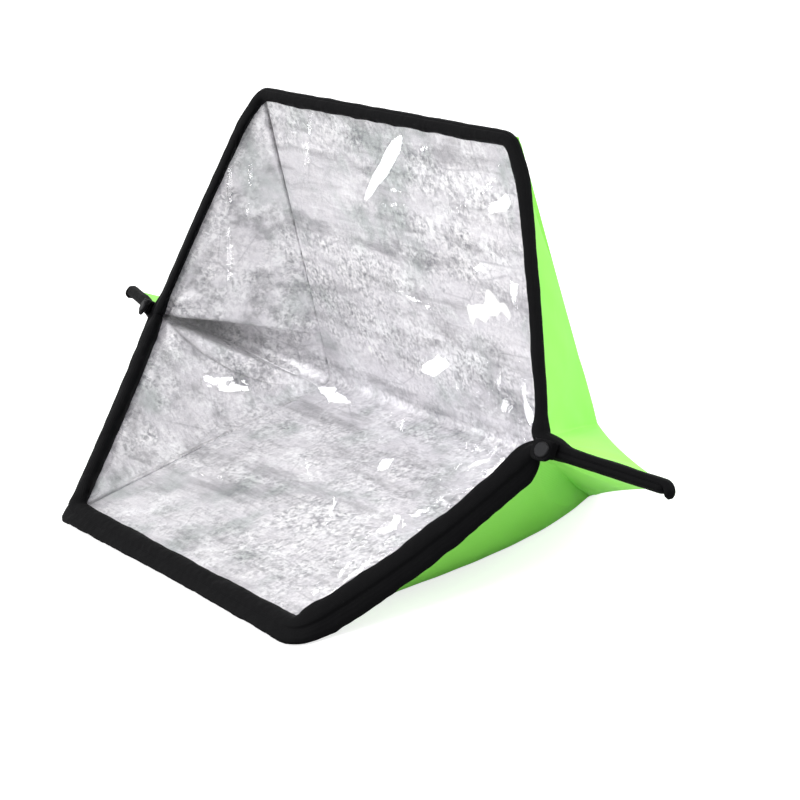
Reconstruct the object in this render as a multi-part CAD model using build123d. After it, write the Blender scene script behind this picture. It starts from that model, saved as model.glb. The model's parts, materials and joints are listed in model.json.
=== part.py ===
from build123d import *
from math import cos, radians, sin
import os

# Solar cooker bag, standing open on its base panel with the mouth towards -Y.
# Millimetres and degrees. +Z is up. The origin is on the ground, under the middle of the base panel.

# The open bag
mouth_width = 460.0  # along the front rim and the top rim, between corner centres
fold_width = 504.0  # along the fold between base and back
panel_depth = 360.0  # from the fold to the centre of the front rim or top rim
opening_angle = 89.0  # between the base panel and the back panel
hub_half_span = 360.0  # from the middle to the pinched corner of the mouth
hub_out = 187.0  # from the fold to the pinched corner, along the plane halfway between the panels
hub_sag = 11.0  # how far the pinched corner hangs below that plane
wing_half_span = 503.0  # from the middle to the tip of the wing
wing_tip_out = 150.0  # from the fold to the tip, along the same plane
wing_tip_rise = 4.0  # how far the tip stands above that plane
wing_root_height = 60.0  # how far up the back panel the wing's pocket begins

# Layers
cover_thickness = 1.0  # coated outer fabric
board_thickness = 6.0  # foam insulation of the two flat panels
lining_thickness = 1.0  # foil lining of the two flat panels
soft_lining_thickness = 3.0  # foil-faced foam of the folding side walls
wing_lining_thickness = 1.5
film_thickness = 0.4
board_inset = 5.0  # from the panel's side edges to the board's
fold_margin = 12.0  # soft strip on each side of the fold
fold_bend_radius = 16.0  # outside of the rounded fold

# Rim of padded black rolls
base_roll_radius = 9.0
back_roll_radius = 6.5
base_corner_radius = 18.0
back_corner_radius = 22.0
corner_leg = 42.0  # how far the front roll and the top roll run on round their corners
arm_width = 18.0
arm_thickness = 8.0
arm_edge_radius = 2.5
arm_tip_radius = 8.0  # seen from above
arm_root = 12.0  # how far the arms reach inwards from the pinched corner
arm_overrun = 8.0  # past the tip's centre

# Press stud and its webbing tab, at each pinched corner
webbing_thickness = 1.2
tab_width = 24.0
tab_reach = 21.0  # from the tab's root down over the stud
stud_along = 16.0  # along the arm, from the pinched corner
stud_height = -1.0  # from the seam between the two arms
stud_radius = 5.5
stud_plate = 0.8
nipple_radius = 2.3
nipple_height = 2.0
socket_depth = 2.6
socket_bore_radius = 3.1
rivet_radius = 1.5
cap_radius = 7.5
cap_height = 2.2

# Clearances
fit_gap = 0.3  # between soft pieces, and round the rolls
body_gap = 0.5  # between pieces that move against each other
fold_gap = 1.0  # from the fold line to the linings, so that the panels close flat

# Worked out from the above
half_opening = radians(opening_angle / 2)
stack = cover_thickness + board_thickness + lining_thickness
fold_height = stack + fold_gap
roll_level = base_roll_radius - fold_height  # the front roll rests on the ground
taper = (fold_width - mouth_width) / 2 / panel_depth
side_stack = cover_thickness + soft_lining_thickness
side_offset = side_stack + fit_gap  # side walls stand this far out from the panels' side edges
fold_back = panel_depth / 2  # the fold is this far behind the origin
block_size = 6 * wing_half_span


def halfway(x, rise, out):
    """Point by its distances from the plane halfway between the panels and from the fold."""
    y = rise * sin(half_opening) - out * cos(half_opening)
    z = rise * cos(half_opening) + out * sin(half_opening)
    return Vector(x, fold_back + y, fold_height + z)


def on_base(x, along, inside):
    """Point by its distance from the fold along the base and its height over the fold line."""
    return Vector(x, fold_back - along, fold_height + inside)


def on_back(x, along, inside):
    """The same for the back panel, which is the base turned up by the opening angle."""
    turn = 2 * half_opening
    y = -along * cos(turn) - inside * sin(turn)
    z = along * sin(turn) - inside * cos(turn)
    return Vector(x, fold_back + y, fold_height + z)


def edge_at(along):
    """Half width of a panel at a distance from the fold."""
    return fold_width / 2 - taper * along


def towards(start, goal, distance):
    return start + (goal - start).normalized() * distance


def facing(a, b, c, inner):
    """Plane through three points that looks away from the inner point."""
    normal = (b - a).cross(c - a)
    if normal.dot(inner - a) > 0:
        normal = normal * -1
    return Plane(origin=a, z_dir=normal)


def sheet(points, push):
    """Flat sheet: a polygon given thickness by a push along its normal."""
    return Solid.extrude(Face(Wire.make_polygon(points)), push)


def rod(start, end, radius):
    return Solid.make_cylinder(radius, (end - start).length, Plane(origin=start, z_dir=end - start))


def bent_roll(points, radius, bend):
    """Round roll along straight runs joined by arcs."""
    path = FilletPolyline(*points, radius=bend)
    start = Plane(origin=path @ 0, z_dir=path % 0)
    return sweep(start * Circle(radius), path=path)


def cut_block(planes):
    """The space behind all the planes."""
    block = Box(block_size, block_size, block_size)
    for plane in planes:
        block = split(block, bisect_by=plane, keep=Keep.BOTTOM)
    return block


def other_side(part):
    return mirror(part, about=Plane.YZ)


# Rim points. Right is +X.
front_corner = on_base(mouth_width / 2, panel_depth, roll_level)
top_corner = on_back(mouth_width / 2, panel_depth, 0)
hub = halfway(hub_half_span, -hub_sag, hub_out)
wing_tip = halfway(wing_half_span, wing_tip_rise, wing_tip_out)


def flip(point):
    return Vector(-point.X, point.Y, point.Z)


# The seam between the two arms of a wing. X runs along the arms, Z up, and -Y out of the mouth.
arm_run = (wing_tip - hub).length
seam_up = halfway(0, 1, 0) - halfway(0, 0, 0)
seam = Plane(origin=hub, x_dir=wing_tip - hub, z_dir=seam_up - (wing_tip - hub).normalized()
             * seam_up.dot((wing_tip - hub).normalized()))


def arm(level):
    """One arm: a flat padded roll with a round tip. Level is +1 for the upper one."""
    length = arm_root + arm_run + arm_overrun
    body = Pos(length / 2 - arm_root, 0, level * arm_thickness / 2) * Box(length, arm_width, arm_thickness)
    tip_edges = body.edges().filter_by(Axis.Z).group_by(Axis.X)[-1]
    body = fillet(tip_edges, arm_tip_radius)
    outer_face = body.faces().sort_by(Axis.Z)[-1 if level > 0 else 0]
    body = fillet(outer_face.edges(), arm_edge_radius)
    recess = stud_disc(stud_radius + fit_gap, -arm_width / 2, stud_plate)
    return seam.location * (body - recess)


def stud_disc(radius, front, depth):
    """Disc on the stud's axis, from the depth at front going inwards."""
    centre = Pos(stud_along, front + depth / 2, stud_height)
    return centre * Rot(90, 0, 0) * Cylinder(radius, depth)


def arm_space(gap):
    length = arm_root + arm_run + arm_overrun + 2 * gap
    place = Pos(length / 2 - arm_root - gap, 0, 0)
    return seam.location * (place * Box(length, arm_width + 2 * gap, 2 * (arm_thickness + gap)))


# Faces of the stud's layers, counted along the seam plane's Y, so outwards is negative
patch_front = -arm_width / 2 - webbing_thickness
plate_front = patch_front - stud_plate
socket_back = plate_front - fit_gap
tab_back = socket_back - socket_depth
tab_front = tab_back - webbing_thickness
patch_top = arm_thickness + webbing_thickness
root_radius = webbing_thickness / 2
tab_pivot = Pos(stud_along, patch_front - fit_gap - root_radius, patch_top - root_radius)


def hub_patch():
    """Webbing that wraps the front and top of the two arms where they are pinched."""
    front_height = patch_top + arm_thickness
    front = Pos(stud_along, -arm_width / 2 - webbing_thickness / 2, patch_top - front_height / 2)
    top = Pos(stud_along, -arm_width / 4, arm_thickness + webbing_thickness / 2)
    patch = front * Box(tab_width, webbing_thickness, front_height)
    patch += top * Box(tab_width, arm_width / 2, webbing_thickness)
    return seam.location * (patch - stud_disc(rivet_radius + fit_gap, patch_front, webbing_thickness))


def stud_tab():
    """Webbing tab that folds down over the stud, with a round root to turn on."""
    pivot = tab_pivot.position
    root = tab_pivot * Rot(0, 90, 0) * Cylinder(root_radius, tab_width)
    leg_length = pivot.Y - tab_front
    leg = Pos(stud_along, pivot.Y - leg_length / 2, pivot.Z) * Box(tab_width, leg_length, webbing_thickness)
    flap = Pos(stud_along, tab_back - webbing_thickness / 2, patch_top - tab_reach / 2)
    flap = flap * Box(tab_width, webbing_thickness, tab_reach)
    lower_corners = flap.edges().filter_by(Axis.Y).group_by(Axis.Z)[0]
    flap = fillet(lower_corners, tab_width / 3)
    return seam.location * (root + leg + flap - stud_disc(rivet_radius + fit_gap, tab_front, webbing_thickness))


def stud_face(depth_from_front):
    """Plane square to the stud's axis, looking out of the mouth."""
    return Plane(origin=(stud_along, depth_from_front, stud_height), x_dir=(1, 0, 0), z_dir=(0, -1, 0))


def stud():
    plate = stud_disc(stud_radius, plate_front, stud_plate)
    nipple = stud_face(plate_front) * Cylinder(nipple_radius, nipple_height,
                                               align=(Align.CENTER, Align.CENTER, Align.MIN))
    nipple = fillet(nipple.edges().group_by(Axis.Y)[0], nipple_radius * 0.6)
    return seam.location * (plate + nipple)


def stud_rivet():
    flange = stud_disc(stud_radius, -arm_width / 2, stud_plate)
    barrel = stud_disc(rivet_radius, patch_front, webbing_thickness)
    return seam.location * (flange + barrel)


def stud_socket():
    cup = stud_disc(stud_radius, tab_back, socket_depth)
    bore = stud_disc(socket_bore_radius, tab_back + stud_plate / 2, socket_depth)
    return seam.location * (cup - bore)


def stud_cap():
    """Domed cap on the front of the tab, with its stem through the webbing."""
    dome = stud_disc(cap_radius, tab_front - cap_height, cap_height)
    dome = fillet(dome.edges().group_by(Axis.Y)[0], cap_height * 0.8)
    return seam.location * (dome + stud_disc(rivet_radius, tab_front, webbing_thickness))


# Rolls of the rim
front_leg_end = towards(front_corner, hub, corner_leg)
top_leg_end = towards(top_corner, hub, corner_leg)
front_route = [flip(front_leg_end), flip(front_corner), front_corner, front_leg_end]
top_route = [flip(top_leg_end), flip(top_corner), top_corner, top_leg_end]


def side_roll(start, radius, height, keep):
    """Roll from a corner's leg to the pinched corner, cut off at a height over the seam of the arms."""
    return split(rod(start, hub, radius), bisect_by=seam.offset(height), keep=keep)


lower_rim_space = bent_roll(front_route, base_roll_radius + fit_gap, base_corner_radius)
upper_rim_space = bent_roll(top_route, back_roll_radius + fit_gap, back_corner_radius)
lower_side_space = rod(front_corner, hub, base_roll_radius + fit_gap)
upper_side_space = rod(top_corner, hub, back_roll_radius + fit_gap)


def panel_layer(place, rim_space, rim_radius, level, thickness, inset):
    """One layer of a flat panel, from the soft fold strip to the roll."""
    far = panel_depth - rim_radius
    points = [
        place(inset - edge_at(fold_margin), fold_margin, level),
        place(edge_at(fold_margin) - inset, fold_margin, level),
        place(edge_at(far) - inset, far, level),
        place(inset - edge_at(far), far, level),
    ]
    push = place(0, 0, thickness) - place(0, 0, 0)
    return sheet(points, push) - rim_space


def panel(place, rim_space, rim_radius):
    """Cover, board and lining of one flat panel, from the outside in."""
    cover_level = -fold_height
    board_level = cover_level + cover_thickness
    lining_level = board_level + board_thickness
    return (
        panel_layer(place, rim_space, rim_radius, cover_level, cover_thickness, 0),
        panel_layer(place, rim_space, rim_radius, board_level, board_thickness, board_inset),
        panel_layer(place, rim_space, rim_radius, lining_level, lining_thickness, 0),
    )


def fold_layer(outer_level, thickness):
    """Rounded strip round the fold, between two levels of the panels' layers."""
    end = fold_margin - body_gap

    def bend(level):
        corner = halfway(0, 0, level / sin(half_opening))
        radius = fold_bend_radius - (level + fold_height)
        return FilletPolyline(on_base(0, end, level), corner, on_back(0, end, level), radius=radius)

    outer = bend(outer_level)
    inner = bend(outer_level + thickness)
    outline = make_face([outer, Line(outer @ 1, inner @ 1), inner, Line(inner @ 0, outer @ 0)])
    return extrude(outline, fold_width / 2, dir=(1, 0, 0), both=True)


# Corners of the wing's pocket, just clear of the panels' side edges
skin_level = fit_gap - fold_height
wing_low = on_base(edge_at(0) + side_offset, 0, skin_level)
wing_high = on_back(edge_at(wing_root_height) + side_offset, wing_root_height, skin_level)
pocket_mouth = facing(wing_low, wing_high, hub, wing_tip)


def pocket(inset, reach):
    """The wing's pocket, drawn in from its three walls and pushed out through its open side."""
    middle = (wing_low + wing_high + hub + wing_tip) / 4
    walls = [
        facing(wing_low, hub, wing_tip, middle),
        facing(wing_high, hub, wing_tip, middle),
        facing(wing_low, wing_high, wing_tip, middle),
    ]
    return cut_block([wall.offset(-inset) for wall in walls] + [pocket_mouth.offset(reach)])


def wing_layer(inset, thickness):
    shell = pocket(inset, -body_gap) - pocket(inset + thickness, body_gap)
    return shell - arm_space(fit_gap)


def side_wall(place, root_height, rim_radius, rolls, inset, thickness):
    """One layer of a folding side wall, a triangle from a panel's side edge to the pinched corner."""
    far = panel_depth - rim_radius - side_offset
    low = place(edge_at(root_height) + side_offset, root_height, skin_level)
    high = place(edge_at(far) + side_offset, far, skin_level)
    outward = facing(low, high, hub, place(0, far, 0)).z_dir
    start = outward * -inset
    layer = sheet([low + start, high + start, hub + start], outward * -thickness)
    for roll in rolls:
        layer = layer - roll
    layer = layer - arm_space(body_gap)
    return split(layer, bisect_by=pocket_mouth, keep=Keep.TOP)


def film(corner, rolls):
    """Clear film between a straight rim and the line from pinched corner to pinched corner."""
    edge = towards(hub, corner, fit_gap)
    points = [corner, edge, flip(edge), flip(corner)]
    normal = (edge - corner).cross(flip(corner) - corner).normalized()
    push = normal * (film_thickness if normal.Y < 0 else -film_thickness)
    layer = sheet(points, push)
    for roll in rolls + [arm_space(body_gap)]:
        layer = layer - roll
    for roll in rolls[1:] + [arm_space(body_gap)]:
        layer = layer - other_side(roll)
    return layer


base_cover, base_board, base_lining = panel(on_base, lower_rim_space, base_roll_radius)
back_cover, back_board, back_lining = panel(on_back, upper_rim_space, back_roll_radius)

nodes = {
    "base_cover": base_cover,
    "base_board": base_board,
    "base_lining": base_lining,
    "front_rim_roll": bent_roll(front_route, base_roll_radius, base_corner_radius),
    "back_cover": back_cover,
    "back_board": back_board,
    "back_lining": back_lining,
    "top_rim_roll": bent_roll(top_route, back_roll_radius, back_corner_radius),
    "fold_cover": fold_layer(-fold_height, cover_thickness),
    "fold_lining": fold_layer(cover_thickness - fold_height, stack - cover_thickness),
    "lower_film": film(front_corner, [lower_rim_space, lower_side_space]),
    "upper_film": film(top_corner, [upper_rim_space, upper_side_space]),
}

# Pieces that the bag has on both sides, modelled on the right
lower_rolls = [lower_rim_space, lower_side_space]
upper_rolls = [upper_rim_space, upper_side_space]
paired = {
    "lower_rim_roll": side_roll(front_leg_end, base_roll_radius, -arm_thickness - body_gap, Keep.BOTTOM),
    "upper_rim_roll": side_roll(top_leg_end, back_roll_radius, patch_top + body_gap, Keep.TOP),
    "lower_side_cover": side_wall(on_base, 0, base_roll_radius, lower_rolls, 0, cover_thickness),
    "lower_side_lining": side_wall(on_base, 0, base_roll_radius, lower_rolls, cover_thickness, soft_lining_thickness),
    "upper_side_cover": side_wall(on_back, wing_root_height, back_roll_radius, upper_rolls, 0, cover_thickness),
    "upper_side_lining": side_wall(on_back, wing_root_height, back_roll_radius, upper_rolls,
                                   cover_thickness, soft_lining_thickness),
    "wing_cover": wing_layer(0, cover_thickness),
    "wing_lining": wing_layer(cover_thickness, wing_lining_thickness),
    "upper_arm": arm(1),
    "lower_arm": arm(-1),
    "hub_patch": hub_patch(),
    "stud": stud(),
    "stud_rivet": stud_rivet(),
    "stud_tab": stud_tab(),
    "stud_socket": stud_socket(),
    "stud_cap": stud_cap(),
}
for name, part in paired.items():
    nodes["right_" + name] = part
    nodes["left_" + name] = other_side(part)

os.makedirs("parts", exist_ok=True)
for name, part in nodes.items():
    export_step(part, f"parts/{name}.step")
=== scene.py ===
import json

import bpy
import numpy as np
from mathutils import Matrix, Vector


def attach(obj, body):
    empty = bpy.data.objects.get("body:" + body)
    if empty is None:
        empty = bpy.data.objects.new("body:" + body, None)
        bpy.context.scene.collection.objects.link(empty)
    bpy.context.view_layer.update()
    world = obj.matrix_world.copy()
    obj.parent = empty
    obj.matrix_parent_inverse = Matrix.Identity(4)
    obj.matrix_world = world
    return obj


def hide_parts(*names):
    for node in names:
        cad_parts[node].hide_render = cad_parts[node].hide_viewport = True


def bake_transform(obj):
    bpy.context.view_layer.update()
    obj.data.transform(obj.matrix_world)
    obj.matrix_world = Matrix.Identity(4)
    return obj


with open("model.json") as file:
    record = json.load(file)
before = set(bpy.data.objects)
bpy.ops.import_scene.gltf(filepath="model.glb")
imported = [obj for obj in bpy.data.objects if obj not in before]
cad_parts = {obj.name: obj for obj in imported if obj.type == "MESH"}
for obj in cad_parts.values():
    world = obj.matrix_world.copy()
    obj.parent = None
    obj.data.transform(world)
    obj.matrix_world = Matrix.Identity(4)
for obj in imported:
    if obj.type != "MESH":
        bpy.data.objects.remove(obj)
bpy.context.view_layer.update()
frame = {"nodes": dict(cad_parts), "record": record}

# Camera: in front of the bag, to its right and above, turned a little about its own axis.
SENSOR_WIDTH = 36.0
PICTURE_SIZE = 800
FOCAL_LENGTH = 2246.87  # in pixels of the photograph
camera_data = bpy.data.cameras.new("camera")
camera = bpy.data.objects.new("camera", camera_data)
bpy.context.scene.collection.objects.link(camera)
camera_right = Vector((0.566281, 0.795463, -0.215790))
camera_up = Vector((-0.204250, 0.389083, 0.898275))
camera_back = Vector((0.798504, -0.464601, 0.382804))
camera_turn = Matrix((camera_right, camera_up, camera_back)).transposed().to_4x4()
camera.matrix_world = Matrix.Translation((1.91817, -0.99555, 0.98518)) @ camera_turn
camera_data.sensor_width = SENSOR_WIDTH
camera_data.lens = SENSOR_WIDTH * FOCAL_LENGTH / PICTURE_SIZE
camera_data.clip_start = 0.05
bpy.context.scene.camera = camera
bpy.context.scene.view_settings.view_transform = "Standard"

# The bag in millimetres, as the solids have it. Right is +X, and the mouth opens to -Y.
HALF_OPENING = np.radians(44.5)  # half the angle between base and reflector
MOUTH_HALF = 230.0  # half the mouth's width
FOLD_HALF = 252.0  # half the fold's width
PANEL = 360.0  # depth of each panel, from the fold to the mouth
FOLD_BACK = 180.0  # the fold lies this far back
FOLD_HEIGHT = 9.0  # and this high
OUTER_LEVEL = -9.0  # outer face of the panels' cloth, from the level of the fold
LINING_LEVEL = -1.0  # the foil lining is laid on this level
WING_ROOT = 60.0  # the wing's back wall starts this far up the reflector's side edge
BASE_ROLL = 9.0  # half the thickness of the front roll
CLOTH = 0.8  # thickness of the nylon
LINING = 0.6  # thickness of the foil


def unit(a):
    """Vectors made one long."""
    return a / np.linalg.norm(a, axis=-1, keepdims=True)


def dot(a, b):
    """Dot products of the last axis, which is kept."""
    return (a * b).sum(-1, keepdims=True)


def halfway(x, rise, out):
    """Point by its distance from the plane halfway between the panels and from the fold."""
    s, c = np.sin(HALF_OPENING), np.cos(HALF_OPENING)
    return np.array([x, FOLD_BACK + rise * s - out * c, FOLD_HEIGHT + rise * c + out * s])


def on_base(x, depth, inside):
    """Point by its distance from the fold along the base panel and its height above it."""
    return np.array([x, FOLD_BACK - depth, FOLD_HEIGHT + inside])


def on_back(x, depth, inside):
    """Point by its distance from the fold along the reflector and its distance in front of it."""
    s, c = np.sin(2 * HALF_OPENING), np.cos(2 * HALF_OPENING)
    return np.array([x, FOLD_BACK - depth * c - inside * s, FOLD_HEIGHT + depth * s - inside * c])


def edge_at(depth):
    """Half the panels' width, which narrows evenly from the fold to the mouth."""
    return FOLD_HALF - (FOLD_HALF - MOUTH_HALF) / PANEL * depth


def smooth(t):
    """Smooth step from 0 to 1: 3 t squared minus 2 t cubed."""
    t = np.clip(t, 0, 1)
    return t * t * (3 - 2 * t)


def bump(t, centre, width):
    """Bell curve of height 1."""
    return np.exp(-(((t - centre) / width) ** 2))


def waves(points, length, seed, count=7):
    """Smooth unevenness from -1 to 1: a mean of sine waves of about one length in random directions."""
    rng = np.random.default_rng(seed)
    total = np.zeros(points.shape[:-1])
    for _ in range(count):
        direction = unit(rng.normal(size=3))
        k = 2 * np.pi / (length * rng.uniform(0.7, 1.5))
        total += np.sin(points @ direction * k + rng.uniform(0, 2 * np.pi))
    return total / count ** 0.5 / 1.6


def mirrored(points):
    """Points with X turned to -X."""
    return points * np.array([-1.0, 1.0, 1.0])


def on_side(points, sign):
    """Points of the right side as they are, and mirrored for the left one."""
    return points if sign > 0 else mirrored(points)


HUB = halfway(360, -11, 187)
TIP = halfway(503, 4, 150)
ARM = unit(TIP - HUB)
RISE = halfway(0, 1, 0) - halfway(0, 0, 0)
SEAM_UP = unit(RISE - ARM * (RISE @ ARM))
SEAM_IN = np.cross(SEAM_UP, ARM)
FRONT_CORNER = on_base(MOUTH_HALF, PANEL, BASE_ROLL - FOLD_HEIGHT)
TOP_CORNER = on_back(MOUTH_HALF, PANEL, 0)
SEAM_OUT = 4.3  # the side seams of the cloth stand this far outside the panels' edges
SEAM_LEVEL = 0.3 - FOLD_HEIGHT  # and just above the panels' outer face
WING_LOW = on_base(edge_at(0) + SEAM_OUT, 0, SEAM_LEVEL)
WING_HIGH = on_back(edge_at(WING_ROOT) + SEAM_OUT, WING_ROOT, SEAM_LEVEL)


def in_seam(x, y, z):
    """Point of the seam between a wing's two arms: along them, inwards through the mouth, and up."""
    return HUB + x * ARM + y * SEAM_IN + z * SEAM_UP


def lengths_along(path):
    """Distance of each point of a path from its start, along it."""
    return np.concatenate([[0], np.cumsum(np.linalg.norm(np.diff(path, axis=0), axis=1))])


def distance_at(path, point):
    """Distance along a path at its point nearest to a point."""
    return lengths_along(path)[np.argmin(np.linalg.norm(path - point, axis=1))]


def rounded_path(points, radii, step):
    """Straight runs joined by circular arcs, as points about one step apart.

    Each arc has its own radius. It starts radius * tan(half the turn) before its corner."""
    points = [np.asarray(p, float) for p in points]
    pieces = [points[0][None]]
    for before, corner, after, radius in zip(points, points[1:], points[2:], radii):
        a, b = unit(corner - before), unit(after - corner)
        half_turn = np.arccos(np.clip(a @ b, -1, 1)) / 2
        start = corner - a * radius * np.tan(half_turn)
        inward = unit(b - a)
        centre = corner + inward * radius / np.cos(half_turn)
        angle = np.linspace(0, 2 * half_turn, 25)[:, None]
        out = unit(start - centre)
        pieces.append(centre + radius * (np.cos(angle) * out + np.sin(angle) * a))
    pieces.append(points[-1][None])
    path = np.concatenate(pieces)
    length = lengths_along(path)
    keep = np.concatenate([[True], np.diff(length) > 1e-9])
    path, length = path[keep], length[keep]
    at = np.linspace(0, length[-1], int(length[-1] / step) + 1)
    return np.stack([np.interp(at, length, path[:, k]) for k in range(3)], 1)


def grid_mesh(name, grid, wrap=False, first_pole=False, last_pole=False, uv=None):
    """Object from a grid of points in millimetres, rows by columns.

    wrap joins the last column to the first. A pole is a row whose points are all one point."""
    rows, cols = grid.shape[:2]
    index = np.arange(rows * cols).reshape(rows, cols)
    if first_pole:
        index[0] = index[0, 0]
    if last_pole:
        index[-1] = index[-1, 0]
    right = np.roll(index, -1, axis=1) if wrap else index[:, 1:]
    left = index if wrap else index[:, :-1]
    quads = np.stack([left[:-1], right[:-1], right[1:], left[1:]], -1).reshape(-1, 4)
    used = np.unique(index)
    fresh = np.full(rows * cols, -1)
    fresh[used] = np.arange(len(used))
    quads = fresh[quads]
    top = quads[:, 0] == quads[:, 1]
    low = quads[:, 2] == quads[:, 3]
    faces = quads[~top & ~low].tolist()
    faces += quads[top][:, [0, 2, 3]].tolist()
    faces += quads[low][:, [0, 1, 2]].tolist()
    mesh = bpy.data.meshes.new(name)
    mesh.from_pydata((grid.reshape(-1, 3)[used] * 0.001).tolist(), [], faces)
    if uv is not None:
        layer = mesh.uv_layers.new(name="cloth")
        corner = np.zeros(len(mesh.loops), np.int32)
        mesh.loops.foreach_get("vertex_index", corner)
        layer.data.foreach_set("uv", (uv.reshape(-1, 2)[used][corner] * 0.001).ravel())
    mesh.polygons.foreach_set("use_smooth", np.ones(len(mesh.polygons), bool))
    mesh.update()
    piece = bpy.data.objects.new(name, mesh)
    bpy.context.scene.collection.objects.link(piece)
    return piece


def grid_normals(grid):
    """Normals of a grid of points: the cross product of its two directions."""
    across = np.gradient(grid, axis=1)
    down = np.gradient(grid, axis=0)
    n = np.cross(across, down)
    size = np.linalg.norm(n, axis=-1, keepdims=True)
    n = np.where(size > 1e-9, n / np.maximum(size, 1e-9), 0)
    n[0] = np.where(size[0] > 1e-9, n[0], n[1])
    n[-1] = np.where(size[-1] > 1e-9, n[-1], n[-2])
    return n


def facing(normals, outward):
    """Normals turned over if most of them point away from a direction."""
    return normals * np.sign(np.mean(dot(normals, np.asarray(outward))))


def grid_uv(grid):
    """Distances along a grid's rows and columns from its middle, for cloth patterns."""
    rows, cols = grid.shape[:2]
    u = lengths_along(grid[rows // 2])
    v = lengths_along(grid[:, cols // 2])
    return np.stack(np.broadcast_arrays(u[None, :], v[:, None]), -1)


def cloth(name, grid, outward, thickness, material, **poles):
    """Sheet of cloth whose outer face is the grid. Its faces are turned to point outwards."""
    n = grid_normals(grid)
    if np.mean(dot(n, np.asarray(outward))) < 0:
        grid = grid[:, ::-1]
    piece = grid_mesh(name, grid, uv=grid_uv(grid), **poles)
    wall = piece.modifiers.new("thickness", "SOLIDIFY")
    wall.thickness = thickness * 0.001
    wall.offset = -1.0
    piece.data.materials.append(material)
    return piece


def area_of(piece):
    """Area of a piece's own faces in square metres."""
    areas = np.zeros(len(piece.data.polygons))
    piece.data.polygons.foreach_get("area", areas)
    return float(areas.sum())


# Materials


def shader(name, color, roughness, metallic=0.0, **sockets):
    """New material, its node tree and its Principled node, with sockets set by name."""
    material = bpy.data.materials.new(name)
    material.use_nodes = True
    principled = material.node_tree.nodes["Principled BSDF"]
    principled.inputs["Base Color"].default_value = (*color, 1.0)
    principled.inputs["Roughness"].default_value = roughness
    principled.inputs["Metallic"].default_value = metallic
    for socket, value in sockets.items():
        principled.inputs[socket.replace("_", " ")].default_value = value
    return material, material.node_tree, principled


def link(tree, a, out, b, into):
    tree.links.new(a.outputs[out], b.inputs[into])


def texture(tree, kind, place, scale, **values):
    """Texture node on a mapping, with its scale and other sockets set."""
    node = tree.nodes.new(kind)
    link(tree, place, 0, node, "Vector")
    node.inputs["Scale"].default_value = scale
    for socket, value in values.items():
        node.inputs[socket.replace("_", " ")].default_value = value
    return node


def mapped(tree, output, scale=(1, 1, 1), turn=(0, 0, 0)):
    """Texture coordinates, stretched and turned."""
    place = tree.nodes.new("ShaderNodeTexCoord")
    mapping = tree.nodes.new("ShaderNodeMapping")
    mapping.inputs["Scale"].default_value = scale
    mapping.inputs["Rotation"].default_value = turn
    link(tree, place, output, mapping, "Vector")
    return mapping


def product(tree, first, second):
    """Product of two grey ramps."""
    node = tree.nodes.new("ShaderNodeMath")
    node.operation = "MULTIPLY"
    link(tree, first, "Color", node, 0)
    link(tree, second, "Color", node, 1)
    return node


def multiplied(tree, first, second):
    """One colour times another."""
    node = tree.nodes.new("ShaderNodeMixRGB")
    node.blend_type = "MULTIPLY"
    node.inputs["Fac"].default_value = 1.0
    link(tree, first, "Color", node, "Color1")
    link(tree, second, "Color", node, "Color2")
    return node


def ramp(tree, source, out, stops):
    """Colour ramp with these stops, each a position and a colour or a grey."""
    node = tree.nodes.new("ShaderNodeValToRGB")
    elements = node.color_ramp.elements
    while len(elements) < len(stops):
        elements.new(0.5)
    for element, (position, color) in zip(elements, stops):
        element.position = position
        element.color = (*color, 1.0) if hasattr(color, "__len__") else (color, color, color, 1.0)
    link(tree, source, out, node, "Fac")
    return node


def relief(tree, principled, layers):
    """Bumps in a row, each a height source with its output, strength and depth in metres."""
    last = None
    for source, out, strength, depth in layers:
        node = tree.nodes.new("ShaderNodeBump")
        node.inputs["Strength"].default_value = strength
        node.inputs["Distance"].default_value = depth
        link(tree, source, out, node, "Height")
        if last is not None:
            link(tree, last, "Normal", node, "Normal")
        last = node
    link(tree, last, "Normal", principled, "Normal")
    return last


def green_nylon():
    """Coated nylon: a fine weave along the cloth, soft creases, and a slight change of shade."""
    material, tree, principled = shader(
        "green_nylon", (0.30, 0.85, 0.11), 0.55, Sheen_Weight=0.05, Specular_IOR_Level=0.3)
    weave = mapped(tree, "UV")
    warp = texture(tree, "ShaderNodeTexWave", weave, 190.0)
    weft = texture(tree, "ShaderNodeTexWave", weave, 190.0)
    weft.bands_direction = "Y"
    place = mapped(tree, "Object")
    crease = texture(tree, "ShaderNodeTexNoise", place, 26.0, Detail=4.0, Roughness=0.55)
    shade = texture(tree, "ShaderNodeTexNoise", place, 6.0, Detail=3.0)
    tint = ramp(tree, shade, "Fac", [(0.3, (0.27, 0.81, 0.097)), (0.7, (0.33, 0.89, 0.125))])
    link(tree, tint, "Color", principled, "Base Color")
    threads = [(warp, "Fac", 0.12, 0.0003), (weft, "Fac", 0.12, 0.0003)]
    relief(tree, principled, [(crease, "Fac", 0.35, 0.003)] + threads)
    return material


def black_cloth(name, scale, roughness):
    """Black woven cloth: fine ribs along it and soft puckers."""
    material, tree, principled = shader(
        name, (0.0024, 0.0024, 0.0028), roughness, Sheen_Weight=0.004, Specular_IOR_Level=0.04)
    principled.inputs["Sheen Roughness"].default_value = 0.4
    ribs = texture(tree, "ShaderNodeTexWave", mapped(tree, "UV"), scale, Distortion=0.6)
    pucker = texture(tree, "ShaderNodeTexNoise", mapped(tree, "Object"), 55.0, Detail=3.0)
    relief(tree, principled, [(pucker, "Fac", 0.5, 0.003), (ribs, "Fac", 0.25, 0.0004)])
    return material


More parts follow.
